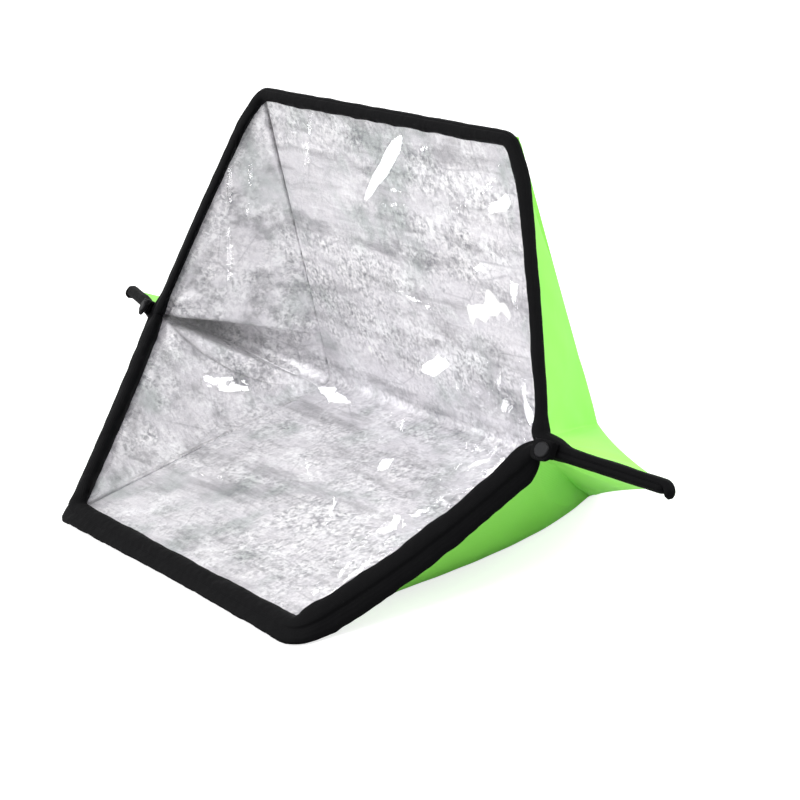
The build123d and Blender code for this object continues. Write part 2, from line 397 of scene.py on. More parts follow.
def foil():
    """Crinkled metallised lining: crushed into small dull and bright specks, with faint tints.

    Bands run across the panels, where the sheet was rolled: the specks are strong in some and faint
    in others, painted highlights lie between them as bright patches, painted shade marks thin creases
    across them, and painted shade darkens it near the fold."""
    material, tree, principled = shader("crinkled_foil", (0.70, 0.70, 0.71), 0.45, 0.35)
    noise = "ShaderNodeTexNoise"
    place = mapped(tree, "Object")
    crush = texture(tree, noise, place, 185.0, Detail=5.0, Roughness=0.66, Distortion=0.5)
    clumps = texture(tree, noise, place, 42.0, Detail=4.0, Roughness=0.6)
    soft = texture(tree, noise, place, 14.0, Detail=4.0, Roughness=0.55)
    bands = texture(tree, noise, mapped(tree, "Object", (2.2, 17.0, 17.0)), 1.0, Detail=5.0, Roughness=0.62)
    rolled = texture(tree, noise, mapped(tree, "Object", (6.0, 40.0, 40.0)), 1.0, Detail=5.0, Roughness=0.6)
    glare = texture(tree, noise, mapped(tree, "Object", (0.7, 1.0, 1.0)), 24.0,
                    Detail=7.0, Roughness=0.68, Distortion=0.3)

    # specks, strong in some bands and clumps and faint in others
    specks = ramp(tree, crush, "Fac", [(0.36, (0.22, 0.22, 0.24)), (0.45, (0.46, 0.46, 0.48)),
                                       (0.53, (0.72, 0.72, 0.72)), (0.60, (0.96, 0.96, 0.95))])
    rough_bands = ramp(tree, bands, "Fac", [(0.40, 0.25), (0.58, 1.0)])
    rough_clumps = ramp(tree, clumps, "Fac", [(0.36, 0.25), (0.60, 1.0)])
    mottled = tree.nodes.new("ShaderNodeMixRGB")
    mottled.inputs["Color1"].default_value = (0.71, 0.70, 0.72, 1)
    link(tree, product(tree, rough_bands, rough_clumps), 0, mottled, "Fac")
    link(tree, specks, "Color", mottled, "Color2")

    # faint tints and dark streaks
    shade = ramp(tree, soft, "Fac", [(0.34, (0.62, 0.66, 0.65)), (0.47, (0.92, 0.91, 0.93)),
                                     (0.60, (1.0, 0.985, 1.0))])
    streaks = ramp(tree, rolled, "Fac", [(0.36, (0.56, 0.56, 0.57)), (0.48, (0.92, 0.92, 0.92)),
                                         (0.56, (1.0, 1.0, 1.0))])
    streaked = multiplied(tree, multiplied(tree, mottled, shade), streaks)

    # painted highlights: bright glare patches painted into the colour
    bright = ramp(tree, glare, "Fac", [(0.50, 0.0), (0.70, 0.9)])
    broken = ramp(tree, crush, "Fac", [(0.40, 0.3), (0.55, 1.0)])
    with_painted_glare = tree.nodes.new("ShaderNodeMixRGB")
    link(tree, product(tree, bright, broken), 0, with_painted_glare, "Fac")
    link(tree, streaked, "Color", with_painted_glare, "Color1")
    with_painted_glare.inputs["Color2"].default_value = (0.93, 0.93, 0.94, 1)

    # painted shade: thin crease lines darkened in the colour, with no relief of their own
    turned = mapped(tree, "Object", (1.0, 1.3, 1.3), (0.3, 0.5, 0.2))
    folds = texture(tree, "ShaderNodeTexVoronoi", turned, 13.0)
    folds.feature = "DISTANCE_TO_EDGE"
    thin = ramp(tree, folds, "Distance", [(0.0, (0.66, 0.66, 0.68)), (0.022, (1.0, 1.0, 1.0))])
    faint = ramp(tree, soft, "Fac", [(0.42, 0.0), (0.58, 0.75)])
    with_painted_crease_shade = multiplied(tree, with_painted_glare, thin)
    link(tree, faint, "Color", with_painted_crease_shade, "Fac")

    # painted shade: darker towards the fold
    towards_fold = tree.nodes.new("ShaderNodeVectorMath")
    towards_fold.operation = "DOT_PRODUCT"
    towards_fold.inputs[1].default_value = (0, 1, -1)
    link(tree, place, 0, towards_fold, 0)
    painted_fold_shade = ramp(tree, towards_fold, "Value", [(0.04, (1.0, 1.0, 1.0)), (0.16, (0.88, 0.88, 0.89))])
    link(tree, multiplied(tree, with_painted_crease_shade, painted_fold_shade), "Color", principled, "Base Color")
    relief(tree, principled, [(bands, "Fac", 0.6, 0.009), (soft, "Fac", 0.5, 0.006),
                              (clumps, "Fac", 0.4, 0.003), (crush, "Fac", 0.6, 0.0012)])
    return material


def film_clear():
    """Clear film: it lets nearly everything through and mirrors a little, more at a slant, with crinkles."""
    material, tree, principled = shader("clear_film", (1.0, 1.0, 1.0), 0.05, 1.0)
    place = mapped(tree, "Object")
    pull = texture(tree, "ShaderNodeTexNoise", place, 9.0, Detail=3.0, Roughness=0.5, Distortion=1.2)
    crinkle = texture(tree, "ShaderNodeTexNoise", place, 38.0, Detail=4.0, Roughness=0.6, Distortion=2.0)
    bumps = relief(tree, principled, [(pull, "Fac", 0.2, 0.006), (crinkle, "Fac", 0.15, 0.0012)])
    glance = tree.nodes.new("ShaderNodeLayerWeight")
    glance.inputs["Blend"].default_value = 0.5
    link(tree, bumps, "Normal", glance, "Normal")
    last = glance
    for operation, value in (("POWER", 4.0), ("MULTIPLY", 0.4), ("ADD", 0.022)):
        step = tree.nodes.new("ShaderNodeMath")
        step.operation = operation
        step.inputs[1].default_value = value
        link(tree, last, "Facing" if last is glance else 0, step, 0)
        last = step
    link(tree, last, 0, principled, "Alpha")
    return material


def stud_metal():
    """Dark plated metal."""
    return shader("stud_metal", (0.018, 0.018, 0.019), 0.5, 1.0)[0]


def foam():
    """White closed-cell foam."""
    return shader("white_foam", (0.80, 0.80, 0.78), 0.8)[0]


GREEN = green_nylon()
BLACK = black_cloth("black_binding", 240.0, 0.62)
WEBBING = black_cloth("black_webbing", 420.0, 0.55)
FOIL = foil()
FILM = film_clear()
METAL = stud_metal()
FOAM = foam()


# Rim: a padded roll with a flat hem lobe, swept along the mouth and on to the wing tips


RING_POINTS = 48
LOBE_WIDTH = 0.34  # angles around a roll's section, in radians
INNER_WIDTH = 0.5
GROOVE_PLACE = 0.74
GROOVE_WIDTH = 0.12


def sweep(name, path, reference, wide, thick, power, lobe, groove, material,
          inner=0.0, lumps=0.0, seed=1, caps=8.0, floor=None):
    """Padded roll along a path.

    The section is a superellipse in polar form, with half sizes wide along the reference direction
    and thick across it. A lobe is added on the reference side, with a stitched groove on both sides
    of it, and a broader one, inner, on the other side. Both ends close as half ellipses of the
    length caps. Lumps are a share of the size, and nothing goes below the floor."""
    run = lengths_along(path)
    middle = path[:, None]
    tangent = unit(np.gradient(path, axis=0))
    sideways = unit(reference - tangent * dot(reference, tangent))
    across = np.cross(tangent, sideways)
    turn = np.linspace(0, 2 * np.pi, RING_POINTS + 1)[:-1][None]
    cosine, sine = np.cos(turn), np.sin(turn)
    wide, thick, power, lobe, groove, inner = (
        np.broadcast_to(np.asarray(size, float), (len(path),))[:, None]
        for size in (wide, thick, power, lobe, groove, inner))
    radius = ((np.abs(cosine) / wide) ** power + (np.abs(sine) / thick) ** power) ** (-1 / power)
    from_reference = np.abs(np.where(turn > np.pi, turn - 2 * np.pi, turn))
    radius = radius + lobe * bump(from_reference, 0, LOBE_WIDTH)
    radius = radius + inner * bump(from_reference, np.pi, INNER_WIDTH)
    radius = radius - groove * bump(from_reference, GROOVE_PLACE, GROOVE_WIDTH)
    end = np.minimum(run, run[-1] - run)[:, None]
    radius = radius * np.sqrt(np.clip(1 - (1 - np.clip(end / caps, 0, 1)) ** 2, 0, 1))
    spokes = cosine[..., None] * sideways[:, None] + sine[..., None] * across[:, None]
    grid = middle + radius[..., None] * spokes
    if lumps:
        uneven = lumps * (waves(grid, 26, seed) + 0.5 * waves(grid, 11, seed + 1)) * np.clip(end / 20, 0, 1)
        grid = middle + (grid - middle) * (1 + uneven)[..., None]
    if floor is not None:
        grid[..., 2] = np.maximum(grid[..., 2], floor)
    around = np.linspace(0, 50, RING_POINTS)[None] + 0 * run[:, None]
    uv = np.stack([around, run[:, None] + 0 * around], -1)
    piece = grid_mesh(name, grid, wrap=True, first_pole=True, last_pole=True, uv=uv)
    piece.data.materials.append(material)
    return piece


def spread(run, marks, values):
    """Values at marks along the path, with smooth steps between them."""
    values = np.asarray(values, float)
    marks = np.asarray(marks, float)
    i = np.clip(np.searchsorted(marks, run) - 1, 0, len(marks) - 2)
    t = smooth((run - marks[i]) / (marks[i + 1] - marks[i]))
    t = t.reshape((-1,) + (1,) * (values.ndim - 1))
    return values[i] * (1 - t) + values[i + 1] * t


def plane_normal(a, b, c, outward):
    """Normal of the plane through three points, on the outward side."""
    n = unit(np.cross(b - a, c - a))
    return n * np.sign(n @ np.asarray(outward))


LOWER_OUT = plane_normal(WING_LOW, FRONT_CORNER, HUB, (1, 0, -1))
UPPER_OUT = plane_normal(WING_HIGH, TOP_CORNER, HUB, (1, 0.5, 0))


def rim_bulge(far):
    """How far the side of the mouth bulges outwards, at a distance below its top corner."""
    return 9.0 * smooth(far / 50) * np.clip(1 - (far / 302) ** 3, 0, 1)


SIDE_SAG = np.array([4.0, 0.0, -6.0])  # the lower sides of the mouth bow out and down this far
LEFT_DROP = 8.0  # the left knot hangs lower than the right one
KNOT_OUT = np.array([2.0, 4.0, 1.5])  # the knot of the rolls stands this far out of the pinched corner
HUB_LOW = in_seam(-2, 0, -2.0) + KNOT_OUT
HUB_HIGH = in_seam(-2, 0, 8.0) + KNOT_OUT
PATH_STEP = 2.0
lower_half = rounded_path(
    [on_base(0, PANEL, 0), FRONT_CORNER, HUB_LOW, in_seam(34, 0, -0.4), TIP - 3.5 * ARM - 6.2 * SEAM_UP],
    [18, 12, 30], PATH_STEP)
upper_half = rounded_path(
    [on_back(0, PANEL, 0), TOP_CORNER, HUB_HIGH, in_seam(34, 0, 4.6), TIP - 1.5 * ARM - 1.8 * SEAM_UP,
     TIP - 14.0 * SEAM_UP],
    [22, 11, 30, 7], PATH_STEP)
UPPER_SIDE = unit(HUB - TOP_CORNER)
BULGE_WAY = unit(np.array([1.0, 0, 0]) - UPPER_SIDE * UPPER_SIDE[0])
lower_bow = np.sin(np.pi * np.clip((lower_half[:, 0] - MOUTH_HALF) / (HUB_LOW[0] - MOUTH_HALF), 0, 1))
lower_half = lower_half + lower_bow[:, None] * SIDE_SAG
below_corner = np.maximum((upper_half - TOP_CORNER) @ UPPER_SIDE, 0)
upper_bulge = np.where(upper_half[:, 0] > MOUTH_HALF - 1, rim_bulge(below_corner), 0)
upper_half = upper_half + BULGE_WAY * upper_bulge[:, None]


def left_drop(path, hub):
    """Shift of the left half, before mirroring: its knot hangs a little lower than the right one."""
    past_hub = lengths_along(path) - distance_at(path, hub)
    weight = np.interp(past_hub, [-70, -45, -12, 0, 30, 70, 140], [0, 0.3, 0.95, 1, 0.6, -0.3, -0.9])
    return -LEFT_DROP * weight[:, None] * SEAM_UP


def both_halves(half_values, other=None):
    """Values along the whole rim, from the left tip to the right one."""
    if other is None:
        other = half_values
    return np.concatenate([other[::-1], half_values[1:]])


def rim_roll(name, half, hub, reference, wide, thick, lobe, groove, inner, left_inner, **rest):
    """Whole rim roll from the values along its right half.

    The left half is its mirror image, but for its drop and its own inner lobe."""
    path = both_halves(half, mirrored(half + left_drop(half, hub)))
    wide, thick, lobe, groove = (both_halves(size) for size in (wide, thick, lobe, groove))
    return sweep(name, path, both_halves(reference, mirrored(reference)), wide, thick, RIM_POWER, lobe, groove,
                 BLACK, inner=both_halves(inner, left_inner), **rest)


def uneven_side(path, mean, long, short, seed, most):
    """Size of a roll's inner lobe: a mean with long and short waves, each a height and a length."""
    size = mean + long[0] * waves(path, long[1], seed) + short[0] * waves(path, short[1], seed + 1)
    return np.clip(size, 0, most)


RIM_POWER = 2.3

# Lower rim, with its sizes at the middle, the corner, the side, the pinched corner and the arm
run = lengths_along(lower_half)
corner_at, hub_at, end_at = distance_at(lower_half, FRONT_CORNER), distance_at(lower_half, HUB_LOW), run[-1]
marks = [0, corner_at - 25, corner_at + 35, hub_at - 25, hub_at + 10, hub_at + 40, end_at]
front_way = (0, -1, -0.1)
reference = spread(run, marks, [front_way, front_way, LOWER_OUT, LOWER_OUT, -SEAM_UP, -SEAM_UP, -SEAM_UP])
wide = spread(run, marks, [10.5, 10.5, 11, 10.5, 5.4, 4.6, 4.5])
thick = spread(run, marks, [9, 9, 9, 9.5, 9.0, 7.0, 6.6])
lobe = spread(run, marks, [7.5, 9, 11, 9.5, 0.3, 0.2, 0.2])
groove = spread(run, marks, [1.3, 1.3, 1.3, 1.0, 0.3, 0.2, 0.2])
inner = spread(run, marks, [1, 0.8, 1, 0.8, 0, 0, 0])
inner = inner * uneven_side(lower_half, 1.6, (2.2, 75), (0.9, 26), 5, 5)
inner = inner + spread(run, [0, hub_at - 45, hub_at - 8, hub_at + 14, end_at], [0, 0, 5, 0, 0])
left_marks = [0, corner_at, corner_at + 40, hub_at - 6, hub_at + 12, end_at]
left_inner = inner + spread(run, left_marks, [0, 0, 3, 7, 0, 0])
lower_rim = rim_roll("lower_rim_roll", lower_half, HUB_LOW, reference, wide, thick, lobe, groove,
                     inner, left_inner, lumps=0.035, seed=3, floor=0.3)
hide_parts("front_rim_roll", "right_lower_rim_roll", "left_lower_rim_roll",
            "right_lower_arm", "left_lower_arm")
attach(lower_rim, "base")

# Upper rim, in the same way; the knot at the pinched corner has two marks of its own
run = lengths_along(upper_half)
corner_at, hub_at, end_at = distance_at(upper_half, TOP_CORNER), distance_at(upper_half, HUB_HIGH), run[-1]
marks = [0, corner_at - 25, corner_at + 35,
         hub_at - 150, hub_at - 24, hub_at - 5, hub_at + 14, hub_at + 40, end_at]
top_way = np.array([0, 0.4, 0.9])
reference = spread(run, marks, [
    top_way, top_way, UPPER_OUT, UPPER_OUT, UPPER_OUT, unit(UPPER_OUT + SEAM_UP), SEAM_UP, SEAM_UP,
    unit(SEAM_UP + 1.2 * ARM)])
wide = spread(run, marks, [7.2, 7.2, 6.6, 5.9, 5.6, 7.4, 8.0, 4.6, 4.5])
thick = spread(run, marks, [7.0, 7.0, 6.4, 5.8, 5.6, 7.6, 9.0, 7.0, 6.6])
lobe = np.full(len(run), 0.6)
groove = spread(run, marks, [0.9, 0.9, 0.9, 0.6, 0.5, 0.6, 0.4, 0.2, 0.2])
inner = spread(run, marks, [1, 1, 1, 1, 1, 1, 0, 0, 0])
inner = inner * uneven_side(upper_half, 0.5, (1.0, 60), (0.6, 22), 7, 3)
inner = inner + spread(run, [0, hub_at - 28, hub_at - 6, hub_at + 14, end_at], [0, 0, 1, 0, 0])
left_marks = [0, corner_at, corner_at + 40, hub_at - 6, hub_at + 12, end_at]
left_inner = inner + spread(run, left_marks, [0, 0, 4.5, 10, 0, 0])
upper_rim = rim_roll("upper_rim_roll", upper_half, HUB_HIGH, reference, wide, thick, lobe, groove,
                     inner, left_inner, lumps=0.04, seed=8)
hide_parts("top_rim_roll", "right_upper_rim_roll", "left_upper_rim_roll",
            "right_upper_arm", "left_upper_arm")
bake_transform(upper_rim)


# Window film: from the front rim to the line between the pinched corners, and on to the top rim


# The film mirrors one softbox in its upper half and one in its lower half.
UPPER_SOFTBOX = np.array([-1750.0, -2030.0, 1160.0])
LOWER_SOFTBOX = np.array([-1770.0, -870.0, 2220.0])
VIEWER = np.array(camera.location) * 1000

# Flat dents and thin creases that catch the light: their place on the film from its middle and from
# the line between the pinched corners, half length, half width, and turn from level, in millimetres
# and degrees.
FILM_DENTS = [
    (30, 224, 42, 13, 61), (52, 201, 30, 3, 5), (58, 187, 26, 2.5, 8), (188, 212, 42, 2.6, 29),
    (212, 224, 24, 2.2, 6), (225, 208, 28, 9, 8), (93, 249, 10, 6, 10), (286, 129, 24, 9, -41),
    (125, 101, 48, 3.4, -4), (-246, 130, 56, 2.4, -69), (-215, 160, 40, 2, -74), (219, 147, 12, 4, 0),
    (182, 44, 24, 11, 15), (223, 38, 11, 3, 85), (-120, 235, 30, 2.2, -80), (40, -18, 34, 9, 0),
    (-250, -66, 66, 2.8, 83), (-232, -48, 24, 2, 80), (-142, -48, 42, 10, 5), (211, -168, 26, 2.6, -87),
    (231, -176, 14, 2.6, -73), (155, -125, 22, 3, -51), (167, -23, 14, 3, -39), (181, -66, 11, 9, 0),
    (248, -112, 14, 3, -43), (78, -99, 18, 3, -34), (300, -30, 16, 3, 20), (-60, -150, 30, 2.4, 10),
]
# Fans of creases: the corner they spread from, how many, and their height.
CREASE_FANS = ((HUB, 11, 0.9), (TOP_CORNER, 8, 0.7), (FRONT_CORNER, 8, 0.6))


def carried_across(section, half, cols):
    """Grid of a section carried along X: each of its points at X = half width times each column."""
    x = half[:, None] * cols[None]
    y = section[:, 1:2] + 0 * x
    z = section[:, 2:3] + 0 * x
    return np.stack([x, y, z], -1)


def film_grid():
    """Rows from the front rim up to the top rim, with the bend at the pinched corners' line rounded.

    Long shallow waves and fans of creases from the corners lie on it. Each dent is a flat facet: its
    height is its slope times the distance from its middle, inside a wavy superellipse, and its slope
    turns it halfway between the viewer and a softbox."""
    ends = [point * np.array([0, 1, 1]) for point in (FRONT_CORNER, HUB, TOP_CORNER)]
    section = rounded_path(ends, [105.0], 2.9)
    tangent = unit(np.gradient(section, axis=0))
    run = lengths_along(section)
    bend = distance_at(section, ends[1])
    up = (run - bend)[:, None]
    rows = np.where(run < bend, run / bend, 1 + (run - bend) / (run[-1] - bend))
    cols = np.linspace(-1, 1, 232)
    half = np.interp(run, [0, bend, run[-1]], [MOUTH_HALF, HUB[0], MOUTH_HALF])
    half = half + np.where(run > bend, rim_bulge((run[-1] - run) * 1.1) * BULGE_WAY[0], 0)
    grid = carried_across(section, half, cols)

    # its edges go along with the rolls, whose left knot hangs lower
    bow = np.sin(np.pi * np.clip(run / bend, 0, 1))[:, None] * np.abs(cols[None]) ** 3
    knot = bump(run, bend, 45)[:, None] * np.abs(cols[None]) ** 8
    way = np.stack([np.sign(cols), np.ones(len(cols)), np.ones(len(cols))], -1)[None]
    grid = grid + way * (bow[..., None] * SIDE_SAG + knot[..., None] * KNOT_OUT)
    grid = grid - (knot * (cols[None] < 0))[..., None] * LEFT_DROP * SEAM_UP * way

    # waves and fans of creases
    height = 0.9 * waves(grid * np.array([1.0, 1.6, 0.7]), 110, 21)
    height = height + 0.28 * waves(grid, 40, 22) + 0.10 * waves(grid, 15, 23)
    for side in (-1, 1):
        for centre, count, amount in CREASE_FANS:
            from_corner = grid - centre * np.array([side, 1, 1])
            far = np.linalg.norm(from_corner, axis=-1)
            angle = np.arctan2(np.abs(from_corner[..., 0]), from_corner[..., 2])
            spokes = np.sin(count * angle + 2 * waves(grid, 120, 30 + count))
            height += amount * np.exp(-far / 55) * spokes

    # dents
    wobble = waves(grid, 30, 25)
    for x, rise, length, width, turn in FILM_DENTS:
        softbox = UPPER_SOFTBOX if rise > 0 else LOWER_SOFTBOX
        place = np.argmin(np.abs(run - bend - rise))
        uphill = tangent[place]
        out = np.array([0, -uphill[2], uphill[1]])
        centre = section[place] + np.array([x, 0, 0])
        facet = unit(unit(VIEWER - centre) + unit(softbox - centre))
        right, above = grid[..., 0] - x, up - rise
        slope = -(facet[0] * right + (facet @ uphill) * above) / (facet @ out)
        cosine, sine = np.cos(np.radians(turn)), np.sin(np.radians(turn))
        lengthwise = (right * cosine + above * sine) / length
        widthwise = (above * cosine - right * sine) / width
        apart = np.hypot(lengthwise, widthwise) + 0.22 * wobble
        height += slope * smooth((1.15 - apart) / 0.3)

    normal = facing(grid_normals(grid), (0, -1, 0.2))
    sag = np.sin(np.pi * (rows % 1))[:, None] * (1 - cols[None] ** 2)
    edge = (1 - np.abs(cols[None]) ** 12) * np.clip(np.minimum(rows, 2 - rows) * 12, 0, 1)[:, None]
    return grid + normal * (edge * (height - 2.0 * sag))[..., None]


film = cloth("window_film", film_grid(), (0, -1, 0.2), 0.4, FILM)
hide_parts("lower_film", "upper_film")
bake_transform(film)


# Panels and fold: one outer cloth and one foil lining, each bent round the fold


def folded_section(level, bend_radius, reach, step, top_tuck):
    """Section of the bent sheet across the fold: distances from the fold and points with X = 0."""
    front = on_base(0, reach, level)
    corner = halfway(0, 0, level / np.sin(HALF_OPENING))
    back = on_back(0, reach, level)
    path = rounded_path([front, corner, back], [bend_radius], step)
    far = np.maximum(FOLD_BACK - path[:, 1], path[:, 2] - FOLD_HEIGHT)
    lift = smooth((path[:, 2] - (FOLD_HEIGHT + reach - 8)) / 8)[:, None] * top_tuck
    inward = on_back(0, 0, 1) - on_back(0, 0, 0)
    return np.clip(far, 0, PANEL), path + lift * inward


def fold_edge(level, bend_radius, low, high, extra):
    """Side edge of the bent sheet, from a distance from the fold on the base to one on the back."""
    far, section = folded_section(level, bend_radius, PANEL, 1.0, 0.0)
    first = np.argmin(np.linalg.norm(section - on_base(0, low, level), axis=1))
    last = np.argmin(np.linalg.norm(section - on_back(0, high, level), axis=1))
    pick = np.linspace(first, last, 28).round().astype(int)
    return section[pick] + np.array([1.0, 0, 0]) * (edge_at(far[pick]) + extra)[:, None]


def panel_sheet(level, bend_radius, reach, half_extra, swell, seed, top_tuck):
    """Bent sheet of the two panels: its section carried along X and made to fit the tapered sides.

    Returns its grid, normals, the height of the long shallow waves on it, which fade towards its
    side edges, and its columns from -1 to 1."""
    far, section = folded_section(level, bend_radius, reach, 4.0, top_tuck)
    even = np.linspace(-1, 1, 150)
    cols = 0.35 * even + 0.65 * np.sin(even * np.pi / 2)
    half = edge_at(far) + half_extra
    grid = carried_across(section, half, cols)
    normal = facing(grid_normals(grid), (0, -1, 1))
    edge = 1 - np.abs(cols[None]) ** 10
    calm = smooth(far / 40)[:, None] * edge
    uneven = 0.8 * waves(grid * np.array([0.5, 1, 1]), 85, seed) + 0.4 * waves(grid, 32, seed + 1)
    return grid, normal, swell * uneven * calm, cols


SEAM_DIP = 3.4  # the linings meet in a groove this deep along the panels' side seams
LINING_RISE = 0.7
LINING_OUT = 0.8  # the linings' side seams stand this far outside the panels' edges
lining_grid, normal, height, cols = panel_sheet(LINING_LEVEL, 9.0, 357.0, 1.5, 1.5, 41, 0.0)
far = np.maximum(FOLD_BACK - lining_grid[..., 1], lining_grid[..., 2] - FOLD_HEIGHT)
past_edge = np.abs(lining_grid[..., 0]) - edge_at(np.clip(far, 0, PANEL))
seam_dip = SEAM_DIP * smooth((past_edge + 6) / 7)
lining_grid = lining_grid + normal * (height + LINING_RISE - seam_dip)[..., None]
lining = cloth("panel_foil", lining_grid, (0, -1, 1), LINING, FOIL)
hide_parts("base_lining", "fold_lining", "back_lining")
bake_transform(lining)

# The cloth meets the side seams below, swells behind the reflector and folds over its top edge.
outer_grid, normal, height, cols = panel_sheet(OUTER_LEVEL, 18.0, 362.0, 4.2, 1.6, 47, 4.5)
high = outer_grid[..., 2] - FOLD_HEIGHT
behind = smooth((high - 1) / 30)
to_side_seam = 0.3 + 4.7 * np.clip((high - WING_ROOT) / (PANEL - 6 - WING_ROOT), 0, 1)
to_side_seam = to_side_seam - 4.5 * smooth((high - 354) / 8)
swollen = 1.0 + 0.6 * np.clip(height, -1.6, 1.6)
swollen = swollen * (1 - np.abs(cols[None]) ** 10) * smooth((361 - high) / 20)
inwards = behind * (to_side_seam * np.abs(cols[None]) ** 70 - swollen)
panel_cloth = cloth("panel_cloth", outer_grid + normal * inwards[..., None], (0, 1, -1), CLOTH, GREEN)
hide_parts("base_cover", "fold_cover", "back_cover")
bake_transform(panel_cloth)


# Side cloth: fans of straight threads from the fold's end to the rim and on along the arm


def triangle_weight(v, u):
    """Swelling of a triangle of cloth: a parabola along its threads, a sine across them."""
    return 4 * v * (1 - v) * np.sin(np.pi * np.clip(u, 0, 1))


WING_SWELL = 5.0
FLOOR_GAP = 0.6  # the cloth keeps this far above the floor


def side_fan(apex, rim, hub, outward, sag, swell, seed, inset=0.0, pocket=0.0, pocket_edge=14.0):
    """Cloth from one point to the rim: apex + v * (rim(u) - apex), swollen between its edges.

    It swells by a sine across each of its two triangles, left and right of the thread to the
    pinched corner, most near the panel, and pleats spread from that corner. The wing's pocket may
    begin with a step outwards, along a line that sags from the pinched corner towards the fold, and
    pocket_edge is how far the step takes to fade. The wing's free edge sags in the middle by the
    vector sag. The inset of a lining fades to nothing at the edges. Cloth that would swell below
    the floor goes sideways."""
    v = np.linspace(0, 1, 72)[:, None, None]
    grid = apex + v * (rim[None] - apex)
    run = lengths_along(rim)
    hub_at = distance_at(rim, hub)
    on_wing = (run - hub_at) / (run[-1] - hub_at)
    grid = grid + 4 * v * (1 - v) * np.clip(on_wing, 0, 1)[None, :, None] ** 2 * sag
    v = v[..., 0]
    side_weight = triangle_weight(v, np.clip(run / hub_at, 0, 1)[None] ** 0.65)
    wing_weight = 0.55 * triangle_weight(v, on_wing[None])
    weight = np.where(run[None] < hub_at, side_weight, wing_weight)
    swell = np.where(run < hub_at, swell, WING_SWELL)[None]
    calm = np.minimum(1, 3 * weight + 0.15)

    # pleats, by the distance from the pinched corner and the angle round it
    from_hub = grid - hub
    far = np.linalg.norm(from_hub, axis=-1)
    a = unit(apex - hub)
    b = unit(np.cross(a, outward))
    angle = np.arctan2(from_hub @ b, from_hub @ a)
    pleats = 2.4 * np.exp(-far / 60) * (1 - np.exp(-far / 10))
    pleats = pleats * np.cos(8 * angle + 1.5 * waves(grid, 130, seed))
    uneven = 1.4 * waves(grid, 90, seed + 1) + 0.5 * waves(grid, 36, seed + 2)

    if pocket:
        t = from_hub @ a / np.linalg.norm(apex - hub)
        front = np.sign((rim[0] - hub) @ b)
        off = front * (from_hub @ b) - 26 * np.sin(np.pi * np.clip(t, 0, 1))
        step = np.where(off < 0, np.exp(off / 34), np.exp(-off / pocket_edge))
        uneven = uneven + pocket * step * smooth(t / 0.12) * smooth((0.9 - t) / 0.2) / calm
    fade = np.minimum(1, 12 * v * (1 - v)) * np.minimum(1, np.minimum(run, run[-1] - run) / 25)[None]
    out = swell * weight + (uneven * calm + pleats - inset) * fade
    swollen = grid + facing(grid_normals(grid), outward) * out[..., None]
    lowest = np.minimum(grid[..., 2], FLOOR_GAP + inset * fade)
    sunk = np.maximum(lowest - swollen[..., 2], 0)
    swollen[..., 2] = swollen[..., 2] + sunk
    if inset == 0:
        swollen[..., 0] = swollen[..., 0] + 0.9 * sunk
    return swollen


def closing_wall(start, low_end, high_end, outward, swell, seed, inset=0.0):
    """Back wall of the wing: rows from the panels' side edge round the fold to the arms' ends."""
    v = np.linspace(0, 1, 60)[:, None, None]
    w = np.linspace(0, 1, len(start))[None, :, None]
    grid = start + v * (low_end + w * (high_end - low_end) - start)
    grid = grid + 4 * v * (1 - v) * (SAG_LOW + w * (SAG_HIGH - SAG_LOW))
    weight = np.sin(np.pi * w[..., 0]) * np.minimum(1, 6 * v[..., 0]) * (1 - v[..., 0])
    out = (swell + 1.2 * waves(grid, 50, seed)) * weight - inset * np.minimum(1, 3 * weight)
    return grid + facing(grid_normals(grid), outward) * out[..., None]


def foot(point, a, b):
    """Nearest point to a point on the line through a and b."""
    d = unit(b - a)
    return a + d * ((point - a) @ d)


def on_plane(point, a, b, c):
    """Nearest point to a point on the plane through a, b and c."""
    normal = unit(np.cross(b - a, c - a))
    return point - normal * ((point - a) @ normal)


BASE_SIDE = PANEL - 8.0  # the side cloth starts this far along the base panel
BACK_SIDE = PANEL - 6.0  # and this far up the reflector
front_low = on_base(edge_at(BASE_SIDE) + SEAM_OUT, BASE_SIDE, 0.5 - FOLD_HEIGHT)
top_low = on_back(edge_at(BACK_SIDE) + SEAM_OUT, BACK_SIDE, -4.0)
ARM_END = (TIP - HUB) @ ARM - 8


def rim_line(path, corner, start):
    """Line of the rim from the start of the side cloth, past a corner, to the arm's end."""
    past_corner = path[lengths_along(path) >= distance_at(path, corner) + 4]
    line = np.concatenate([start[None], past_corner])
    return line[(line - HUB) @ ARM < ARM_END]


lower_rim_line = rim_line(lower_half, FRONT_CORNER, front_low)
upper_rim_line = rim_line(upper_half, TOP_CORNER, top_low)


def edge_sag(start, end, depth):
    """Vector from the middle of the wing's free edge towards the pinched corner, square to the edge."""
    way = HUB - (start + end) / 2
    d = unit(end - start)
    return depth * unit(way - d * (way @ d))


GROOVE_LEVEL = LINING_LEVEL + LINING_RISE - SEAM_DIP
inner_fold = fold_edge(GROOVE_LEVEL, 12.0, 16, WING_ROOT, LINING_OUT)
outer_fold = fold_edge(SEAM_LEVEL, 18.0, 22, WING_ROOT, SEAM_OUT)
INNER_LOW, INNER_HIGH = inner_fold[0], inner_fold[-1]
OUTER_LOW, OUTER_HIGH = outer_fold[0], outer_fold[-1]
SAG_LOW = edge_sag(OUTER_LOW, lower_rim_line[-1], 5.0)
SAG_HIGH = edge_sag(OUTER_HIGH, upper_rim_line[-1], 7.0)
inner_front = on_base(edge_at(BASE_SIDE) + LINING_OUT, BASE_SIDE, GROOVE_LEVEL)
inner_top = on_back(edge_at(BACK_SIDE) + LINING_OUT, BACK_SIDE, GROOVE_LEVEL)


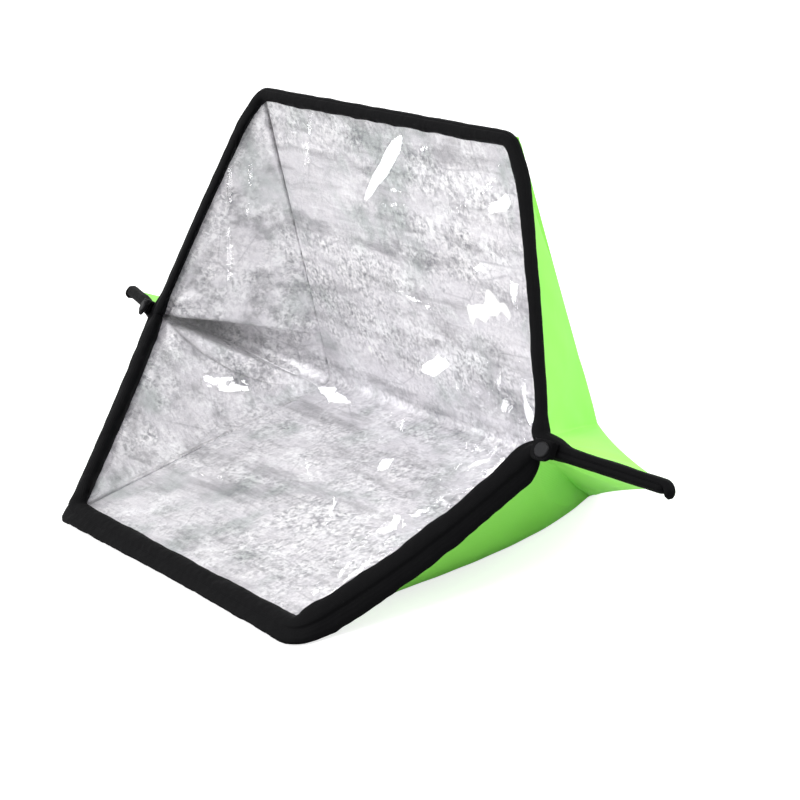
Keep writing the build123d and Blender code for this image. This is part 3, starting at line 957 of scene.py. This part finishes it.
def inside_line(first, line, outward):
    """Rim line of a lining: a little inside the cloth's line, and ending short of the arm's end."""
    run = lengths_along(line)
    gap = (1.2 + 1.4 * np.clip((run[-1] - run) / 60, 0, 1))[:, None]
    inside = (line - gap * outward)[run < run[-1] - 14]
    return np.concatenate([first[None], inside[1:]])


inner_lower_line = inside_line(inner_front, lower_rim_line, LOWER_OUT)
inner_upper_line = inside_line(inner_top, upper_rim_line, UPPER_OUT)
WALL_OUT = np.array([0.3, 1.0, 0.0])

# Where the cloth over the reflector hinge starts to turn and has turned fully.
UPPER_BEND = (HUB, foot(HUB, WING_HIGH, TOP_CORNER))
WING_BEND = (on_plane(WING_HIGH, WING_LOW, HUB, TIP), WING_HIGH)

for side, sign in (("right", 1), ("left", -1)):
    seed = 60 if sign > 0 else 160
    lower_line, upper_line = lower_rim_line, upper_rim_line
    lower_foil_line, upper_foil_line = inner_lower_line, inner_upper_line
    if side == "left":
        lower_line = lower_line + left_drop(lower_line, HUB_LOW)
        upper_line = upper_line + left_drop(upper_line, HUB_HIGH)
        lower_foil_line = lower_foil_line + left_drop(lower_foil_line, HUB_LOW)
        upper_foil_line = upper_foil_line + left_drop(upper_foil_line, HUB_HIGH)
    lower_outer = side_fan(OUTER_LOW, lower_line, HUB_LOW, LOWER_OUT, SAG_LOW, 18.0, seed, 0.0, 4.0)
    lower_inner = side_fan(INNER_LOW, lower_foil_line, HUB_LOW, LOWER_OUT, SAG_LOW, 12.0, seed, 3.0, 4.0, 2.5)
    upper_outer = side_fan(OUTER_HIGH, upper_line, HUB_HIGH, UPPER_OUT, SAG_HIGH, 4.0, seed + 10)
    upper_inner = side_fan(INNER_HIGH, upper_foil_line, HUB_HIGH, UPPER_OUT, SAG_HIGH, 4.0, seed + 10, 3.0)
    wall_ends = lower_line[-1], upper_line[-1]
    wall_foil_ends = lower_foil_line[-1], upper_foil_line[-1]
    wall_outer = closing_wall(outer_fold, *wall_ends, WALL_OUT, 4.0, seed + 20)
    wall_inner = closing_wall(inner_fold, *wall_foil_ends, WALL_OUT, 4.0, seed + 20, 2.5)
    for part, node, outer, inner, outward, bend, flat in (
            ("lower_side", "lower_side", lower_outer, lower_inner, LOWER_OUT, None, (0.37, 0.30)),
            ("upper_side", "upper_side", upper_outer, upper_inner, UPPER_OUT, UPPER_BEND, (0.37, 0.28)),
            ("wing_back", "wing", wall_outer, wall_inner, WALL_OUT, WING_BEND, (0.09, 0.30))):
        pole = part != "wing_back"
        cover = cloth(f"{side}_{part}_cloth", on_side(outer, sign), on_side(outward, sign), CLOTH, GREEN,
                      first_pole=pole)
        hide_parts(f"{side}_{node}_cover")
        foil_sheet = cloth(f"{side}_{part}_foil", on_side(inner, sign), on_side(-outward, sign), LINING, FOIL,
                           first_pole=pole)
        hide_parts(f"{side}_{node}_lining")
        for piece in (cover, foil_sheet):
            if bend is None:
                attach(piece, "base")
            else:
                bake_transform(piece)
            area_of(piece)


# Stud and webbing


def webbing(name, corners, corner_radius, sign, wide, thick):
    """Flat ribbon along a line with rounded corners, its width along the arm."""
    line = rounded_path([in_seam(*corner) for corner in corners], [corner_radius], 0.5)
    arm = np.broadcast_to(ARM, line.shape)
    if callable(wide):
        wide = wide(lengths_along(line) / lengths_along(line)[-1])
    return sweep(name, on_side(line, sign), on_side(arm, sign), wide, thick, 5.0, 0.0, 0.0, WEBBING, caps=1.0)


def rounded_end(t):
    """Half width of the stud tab along its length: full, then a half ellipse."""
    return 12.0 * np.sqrt(np.clip(1 - np.clip((t - 0.72) / 0.30, 0, 1) ** 2, 0.05, 1))


# Corners of the patch that is sewn over the arm's root, and of the tab that carries the stud.
PATCH_CORNERS = ((16, -9.6, -7.6), (16, -9.6, 8.6), (16, -1, 8.6))
TAB_CORNERS = ((16, -10.8, 8.6), (16, -14.5, 8.6), (16, -14.5, -11.4))

for side, sign in (("right", 1), ("left", -1)):
    patch = webbing(f"{side}_webbing_patch", PATCH_CORNERS, 1.6, sign, 12.0, 0.65)
    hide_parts(f"{side}_hub_patch")
    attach(patch, "base")
    tab = webbing(f"{side}_webbing_tab", TAB_CORNERS, 1.4, sign, rounded_end, 0.6)
    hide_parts(f"{side}_stud_tab")
    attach(tab, f"{side}_tab")

by_slot = {"stud_metal": METAL, "foam_board": FOAM, "green_fabric": GREEN, "black_binding": BLACK,
           "black_webbing": WEBBING, "foil": FOIL, "clear_film": FILM}
for entry in frame["record"]["subparts"]:
    node = frame["nodes"][entry["node"]]
    node.data.materials.clear()
    node.data.materials.append(by_slot[entry["material_slot"]])

# Studio: a white floor and world for the camera, soft lamps


def floor_material():
    """Pale matt floor that glows for the camera alone, so it looks white and keeps its shadows."""
    material = bpy.data.materials.new("studio_floor")
    material.use_nodes = True
    tree = material.node_tree
    principled = tree.nodes["Principled BSDF"]
    principled.inputs["Base Color"].default_value = (0.60, 0.60, 0.60, 1)
    principled.inputs["Roughness"].default_value = 1.0
    principled.inputs["Specular IOR Level"].default_value = 0.0
    glow = tree.nodes.new("ShaderNodeEmission")
    rays = tree.nodes.new("ShaderNodeLightPath")
    add = tree.nodes.new("ShaderNodeAddShader")
    strength = tree.nodes.new("ShaderNodeMath")
    strength.operation = "MULTIPLY"
    strength.inputs[1].default_value = 0.75
    link(tree, rays, "Is Camera Ray", strength, 0)
    link(tree, strength, 0, glow, "Strength")
    link(tree, principled, 0, add, 0)
    link(tree, glow, 0, add, 1)
    link(tree, add, 0, tree.nodes["Material Output"], "Surface")
    return material


FAR = 6000.0
UNDER = -0.5
floor_corners = np.array([[(-FAR, -FAR, UNDER), (FAR, -FAR, UNDER)], [(-FAR, FAR, UNDER), (FAR, FAR, UNDER)]])
floor = grid_mesh("studio_floor_sheet", floor_corners)
floor.data.materials.append(floor_material())


def area_lamp(name, place, target, size, power):
    """Soft rectangular lamp at a place, turned to a target, in metres and watts."""
    data = bpy.data.lights.new(name, "AREA")
    data.shape = "RECTANGLE"
    data.size, data.size_y = size
    data.energy = power
    lamp = bpy.data.objects.new(name, data)
    bpy.context.scene.collection.objects.link(lamp)
    place = Vector([float(k) for k in place])
    back = (place - Vector(target)).normalized()
    lamp.matrix_world = Matrix.Translation(place) @ back.to_track_quat("Z", "Y").to_matrix().to_4x4()


area_lamp("key", (0.8, -1.2, 3.4), (0.1, 0, 0.1), (1.6, 1.6), 76)
area_lamp("side", (2.0, 1.8, 1.5), (0.3, 0.05, 0.12), (1.4, 1.4), 52)
area_lamp("front", (-0.6, -3.2, 1.8), (0, 0, 0.15), (3.4, 2.4), 82)
area_lamp("rear", (-1.6, 2.4, 2.2), (0, 0.1, 0.15), (2.0, 1.4), 18)
area_lamp("softbox_for_upper_film", UPPER_SOFTBOX * 0.001, (0, 0, 0.15), (0.5, 0.5), 12)
area_lamp("softbox_for_lower_film", LOWER_SOFTBOX * 0.001, (0, 0, 0.15), (0.5, 0.5), 12)

world = bpy.data.worlds.new("studio")
bpy.context.scene.world = world
world.use_nodes = True
tree = world.node_tree
background = tree.nodes["Background"]
background.inputs["Color"].default_value = (1, 1, 1, 1)
rays = tree.nodes.new("ShaderNodeLightPath")
seen = tree.nodes.new("ShaderNodeMath")
seen.operation = "MAXIMUM"
link(tree, rays, "Is Camera Ray", seen, 0)
link(tree, rays, "Is Transmission Ray", seen, 1)
mirrored_too = tree.nodes.new("ShaderNodeMath")
mirrored_too.operation = "MAXIMUM"
link(tree, seen, 0, mirrored_too, 0)
link(tree, rays, "Is Glossy Ray", mirrored_too, 1)
strength = tree.nodes.new("ShaderNodeMapRange")
strength.inputs["To Min"].default_value = 0.44
strength.inputs["To Max"].default_value = 1.0
link(tree, mirrored_too, 0, strength, "Value")
link(tree, strength, 0, background, "Strength")
